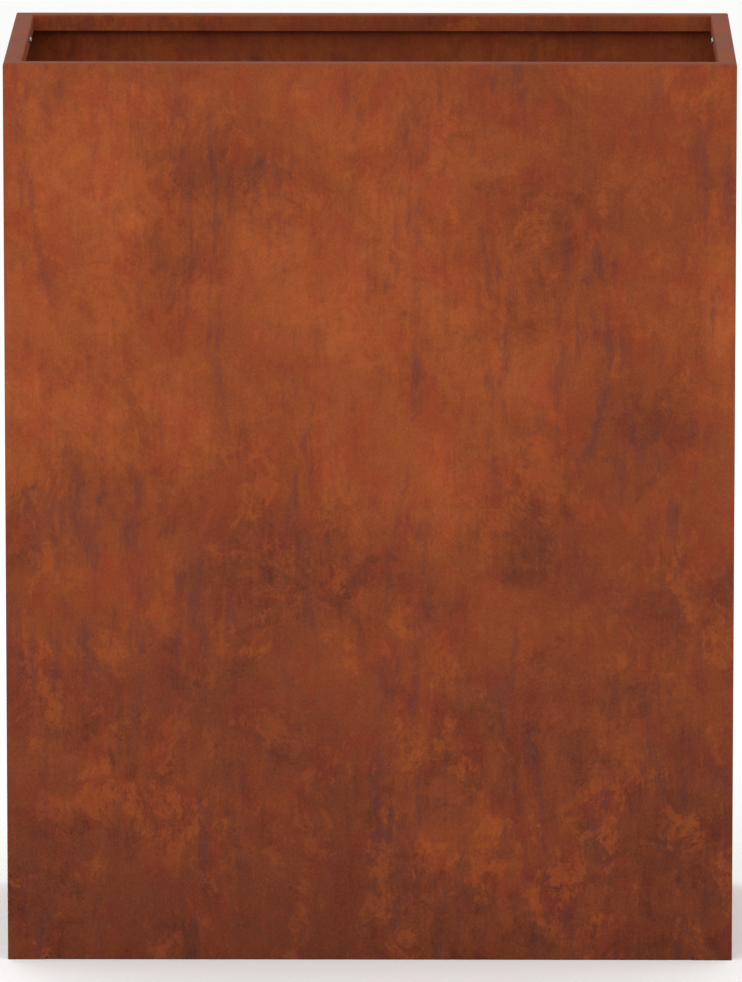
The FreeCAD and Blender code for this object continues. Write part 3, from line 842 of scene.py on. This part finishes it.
print("ripples in the height of a corner:", round(HEIGHT / RIPPLE))

# %% [markdown]
# ## Where the welds run
# The four corner welds run up the inside of each corner. The others are short stitches, because a
# continuous bead would pull a thin wall out of flat: each runs along the longer side of its CAD solid,
# with its root in the corner between the wall and the angle or the bracket.

# %% Welds
for corner, (sx, sy) in CORNERS.items():
    node = "corner_weld_" + corner
    low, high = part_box(node)
    root = Vector((low.x if sx < 0 else high.x, low.y if sy < 0 else high.y, low.z))
    bm = bmesh.new()
    size = high - low
    bead(bm, root, Vector((0, 0, 1)), Vector((-sx, 0, 0)), Vector((0, -sy, 0)), size.x, size.z)
    finished("corner_bead_" + corner, bm, "planter", "weld_bead", weld_metal, node)

for node, name in (("ledge_welds", "ledge_beads"), ("bracket_welds", "bracket_beads")):
    bm = bmesh.new()
    for low, high in solids_of(node):
        middle = (low + high) / 2
        size = high - low
        if size.x > size.y:
            run, outwards = Vector((1, 0, 0)), Vector((0, math.copysign(1, middle.y), 0))
        else:
            run, outwards = Vector((0, 1, 0)), Vector((math.copysign(1, middle.x), 0, 0))
        root = middle - run * max(size.x, size.y) / 2
        root += outwards * min(size.x, size.y) / 2 + Vector((0, 0, size.z / 2))
        bead(bm, root, run, -outwards, Vector((0, 0, -1)), size.z, max(size.x, size.y))
    finished(name, bm, "planter", "weld_bead", weld_metal, node)
    print(name, "made:", len(solids_of(node)), "beads")

# %% [markdown]
# ## Threads, nuts and washers
# A rolled thread is a ridge that climbs one pitch per turn, so each point's radius depends on its
# height and its angle together. A nut is a hexagon cut back by a 30 degree cone at both ends, which
# leaves the curved chamfers that every eye knows. Both come from the same rings.

# %% Threads and hexagons
THREAD_STEPS = 6
THREAD_DEPTH = 0.61  # of the pitch, as in every metric thread
NUT_POINTS = 48
FACE_SHARE = 0.97
CHAMFER_DEGREES = 30


def hexagon(flats):
    """The radius of a hexagon at each angle, with a corner at angle zero."""
    return lambda angle: flats / 2 / math.cos((angle % (math.pi / 3)) - math.pi / 6)


def thread_rings(radius, pitch, length):
    """Rings of a threaded rod that stands on z = 0, pointed a little at both ends."""
    depth = THREAD_DEPTH * pitch
    rings = []
    for rise in evenly(0, length, pitch / THREAD_STEPS):
        lead = max(0.0, depth - min(rise, length - rise))

        def ridge(angle, rise=rise, lead=lead):
            turn = (rise / pitch - angle / math.tau) % 1.0
            return min(radius - depth * abs(2 * turn - 1), radius - lead)

        rings.append(ring(ridge, rise))
    return rings


def chamfered_rings(flats, start, end):
    """Rings up the outside of a hexagon, cut back by a cone at both of its ends."""
    side = hexagon(flats)
    face = FACE_SHARE * flats / 2
    slope = math.tan(math.radians(90 - CHAMFER_DEGREES))
    chamfer = (flats / math.sqrt(3) - face) / slope
    rises = evenly(0, chamfer, chamfer / 4)
    places = [(h, start + h) for h in rises] + [(h, end - h) for h in rises[::-1]]
    return [ring(lambda a, h=h: min(side(a), face + h * slope), z, NUT_POINTS) for h, z in places]


def unit(axis, sign=1):
    """The direction of an axis, by its number."""
    return Vector([sign if k == axis else 0 for k in range(3)])


print("rings in a 20 mm rod with a 1.25 mm pitch:", len(thread_rings(4 * MM, 1.25 * MM, 20 * MM)))

# %% [markdown]
# ## Nuts, washers and weld studs
# A node of nuts holds several, and each CAD solid says where its own nut goes and how big it is. The
# bores open with a small lead, and a stamped washer is round at its outer edges. The weld studs that
# the tie bars are bolted to are plain threaded rods.

# %% Fasteners
BORE_LEAD = 0.4 * MM
WASHER_BORE = 4.2 * MM
WASHER_ROUND = 0.25  # of its thickness
TIE_PITCH = 1.25 * MM


def nut_rings(flats, height, bore):
    """Rings of a hexagon nut on z = 0: up the outside, then back down its bore."""
    inside = [(bore + BORE_LEAD, height), (bore, height - BORE_LEAD)]
    inside += [(bore, BORE_LEAD), (bore + BORE_LEAD, 0)]
    return chamfered_rings(flats, 0, height) + [ring(r, z, NUT_POINTS) for r, z in inside]


def washer_rings(radius, bore, thickness):
    """Rings of a stamped washer on z = 0, rounded on its outer edges."""
    rounding = WASHER_ROUND * thickness
    outside = [(radius - rounding, 0), (radius, rounding), (radius, thickness - rounding)]
    outside += [(radius - rounding, thickness), (bore, thickness), (bore, 0)]
    return [ring(r, z, NUT_POINTS) for r, z in outside]


def add_nuts(bm, node, axis, bore):
    """Chamfered nuts where a CAD node has them, along X, Y or Z."""
    for low, high in solids_of(node):
        size = high - low
        across = [k for k in range(3) if k != axis]
        corner = max(across, key=lambda k: size[k])
        flats = min(size[k] for k in across)
        start = (low + high) / 2 - unit(axis) * size[axis] / 2
        place = standing_at(start, unit(axis), unit(corner))
        skin(bm, moved(nut_rings(flats, size[axis], bore), place), joined=True)


NUTS = (
    # node, the axis of its nuts, and the radius of their bore in millimetres
    ("tie_nuts", 1, 4.05),
    ("lip_weld_nuts", 0, 2.05),
    ("foot_weld_nuts", 2, 5.05),
    ("foot_lock_nuts", 2, 5.05),
)
for node, axis, bore in NUTS:
    bm = bmesh.new()
    add_nuts(bm, node, axis, bore * MM)
    finished(node + "_chamfered", bm, "planter", "zinc_steel", zinc, node)

bm = bmesh.new()
for low, high in solids_of("tie_washers"):
    start = Vector(((low.x + high.x) / 2, low.y, (low.z + high.z) / 2))
    rings = washer_rings((high.x - low.x) / 2, WASHER_BORE, high.y - low.y)
    skin(bm, moved(rings, standing_at(start, unit(1), unit(0))), joined=True)
finished("tie_washers_stamped", bm, "planter", "zinc_steel", zinc, "tie_washers")

bm = bmesh.new()
for low, high in solids_of("tie_weld_studs"):
    start = Vector(((low.x + high.x) / 2, low.y, (low.z + high.z) / 2))
    rings = thread_rings((high.x - low.x) / 2, TIE_PITCH, high.y - low.y)
    skin(bm, moved(rings, standing_at(start, unit(1), unit(0))))
finished("tie_studs_threaded", bm, "planter", "zinc_steel", zinc, "tie_weld_studs")
print("nuts, washers and studs made")

# %% [markdown]
# ## The two lip screws
# Low on each short lip, a little behind the middle, sits a small button-head screw with a hexagon
# socket, the only bright metal that shows from outside. Its dome, socket and thread are one skin of
# rings, from the thread's point to the floor of the socket.

# %% Lip screws
SCREW_HEAD = 2.2 * MM
SCREW_PITCH = 0.7 * MM
SCREW_RADIUS = 2.0 * MM
SCREW_EDGE = 0.4 * MM
SCREW_FLAT = 1.9 * MM
SOCKET_FLATS = 2.5 * MM
SOCKET_DEPTH = 1.3 * MM
SOCKET_EDGE = 0.15 * MM

for side, inwards in (("left", 1), ("right", -1)):
    node = "lip_screw_" + side
    low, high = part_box(node)
    head = (high.y - low.y) / 2
    length = high.x - low.x
    shank = length - SCREW_HEAD
    rings = thread_rings(SCREW_RADIUS, SCREW_PITCH, shank)
    rings += [ring(head - SCREW_EDGE / 2, shank), ring(head, shank + SCREW_EDGE / 2)]
    for angle in evenly(0, math.pi / 2, math.pi / 12):
        radius = SCREW_FLAT + (head - SCREW_FLAT) * math.cos(angle)
        rings.append(ring(radius, shank + SCREW_EDGE + (SCREW_HEAD - SCREW_EDGE) * math.sin(angle)))
    socket = hexagon(SOCKET_FLATS)
    rings.append(ring(lambda angle: socket(angle) + SOCKET_EDGE, length))
    rings.append(ring(socket, length - SOCKET_EDGE))
    rings.append(ring(socket, length - SOCKET_DEPTH))
    start = Vector((low.x if inwards > 0 else high.x, (low.y + high.y) / 2, (low.z + high.z) / 2))
    bm = bmesh.new()
    skin(bm, moved(rings, standing_at(start, unit(0, inwards), unit(2))))
    finished("lip_screw_%s_domed" % side, bm, "planter", "zinc_steel", zinc, node)
    print(node, "head %.1f mm across" % (2 * head / MM))

# %% [markdown]
# ## The levelling feet
# Each foot is a zinc-plated stud with a hexagon to turn it by, and a moulded pad that its end turns in.
# The stud and the pad move apart from the box, so each rides on a body of its own. The pad's rim has
# the shallow flutes that give fingers a grip, and its underside is recessed to a ring.

# %% Feet
FLUTES = 24
FLUTE_DEPTH = 0.45 * MM
HEX_FLATS = 13.0 * MM
HEX_LOW, HEX_HIGH = 9.0 * MM, 15.0 * MM
SPIGOT = 4.0 * MM
SPIGOT_LOW = 3.0 * MM
STUD_RADIUS = 5.0 * MM
STUD_PITCH = 1.5 * MM


def pad_rings(radius, top):
    """Rings of a fluted foot pad: from under its middle, out, up its shoulder and into its socket."""

    def fluted(angle):
        return radius - FLUTE_DEPTH * (0.5 + 0.5 * math.cos(FLUTES * angle))

    neck, socket = 9.0 * MM, 4.05 * MM  # radii; each point of the outline is a radius and a height
    outline = [(2 * MM, 0.7 * MM), (radius - 5 * MM, 0.7 * MM), (radius - 4.4 * MM, 0.0)]
    outline += [(radius - 1.6 * MM, 0.0), (radius - 0.8 * MM, 0.3 * MM), (fluted, 1.1 * MM)]
    outline += [(fluted, 3.3 * MM), (radius - 0.8 * MM, 4.0 * MM)]
    outline += [(neck + 1.2 * MM, 7.6 * MM), (neck + 0.2 * MM, 8.5 * MM), (neck - 0.4 * MM, top)]
    outline += [(socket + 0.5 * MM, top), (socket, top - 0.5 * MM), (socket, 2.9 * MM)]
    return [ring(r, z, 4 * FLUTES) for r, z in outline]


def stud_hex_rings():
    """Rings of the stud's spigot and its chamfered hexagon."""
    spigot = [(SPIGOT - 0.5 * MM, SPIGOT_LOW), (SPIGOT, SPIGOT_LOW + 0.5 * MM), (SPIGOT, HEX_LOW)]
    rings = [ring(r, z, NUT_POINTS) for r, z in spigot]
    return rings + chamfered_rings(HEX_FLATS, HEX_LOW, HEX_HIGH)


for corner in CORNERS:
    pad, stud = "foot_pad_" + corner, "foot_stud_" + corner  # each names both a node and its body
    low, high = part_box(pad)
    axis = Vector(((low.x + high.x) / 2, (low.y + high.y) / 2, 0))
    stand = Matrix.Translation(axis)
    bm = bmesh.new()
    skin(bm, moved(pad_rings((high.x - low.x) / 2, high.z), stand))
    finished("foot_pad_%s_moulded" % corner, bm, pad, "foot_polyamide", polyamide, pad)
    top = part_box(stud)[1].z
    bm = bmesh.new()
    skin(bm, moved(stud_hex_rings(), stand))
    rod_start = HEX_HIGH - STUD_PITCH
    rod = Matrix.Translation(axis + Vector((0, 0, rod_start)))
    skin(bm, moved(thread_rings(STUD_RADIUS, STUD_PITCH, top - rod_start), rod))
    finished("foot_stud_%s_threaded" % corner, bm, stud, "zinc_steel", zinc, stud)
print("feet made:", len(CORNERS))
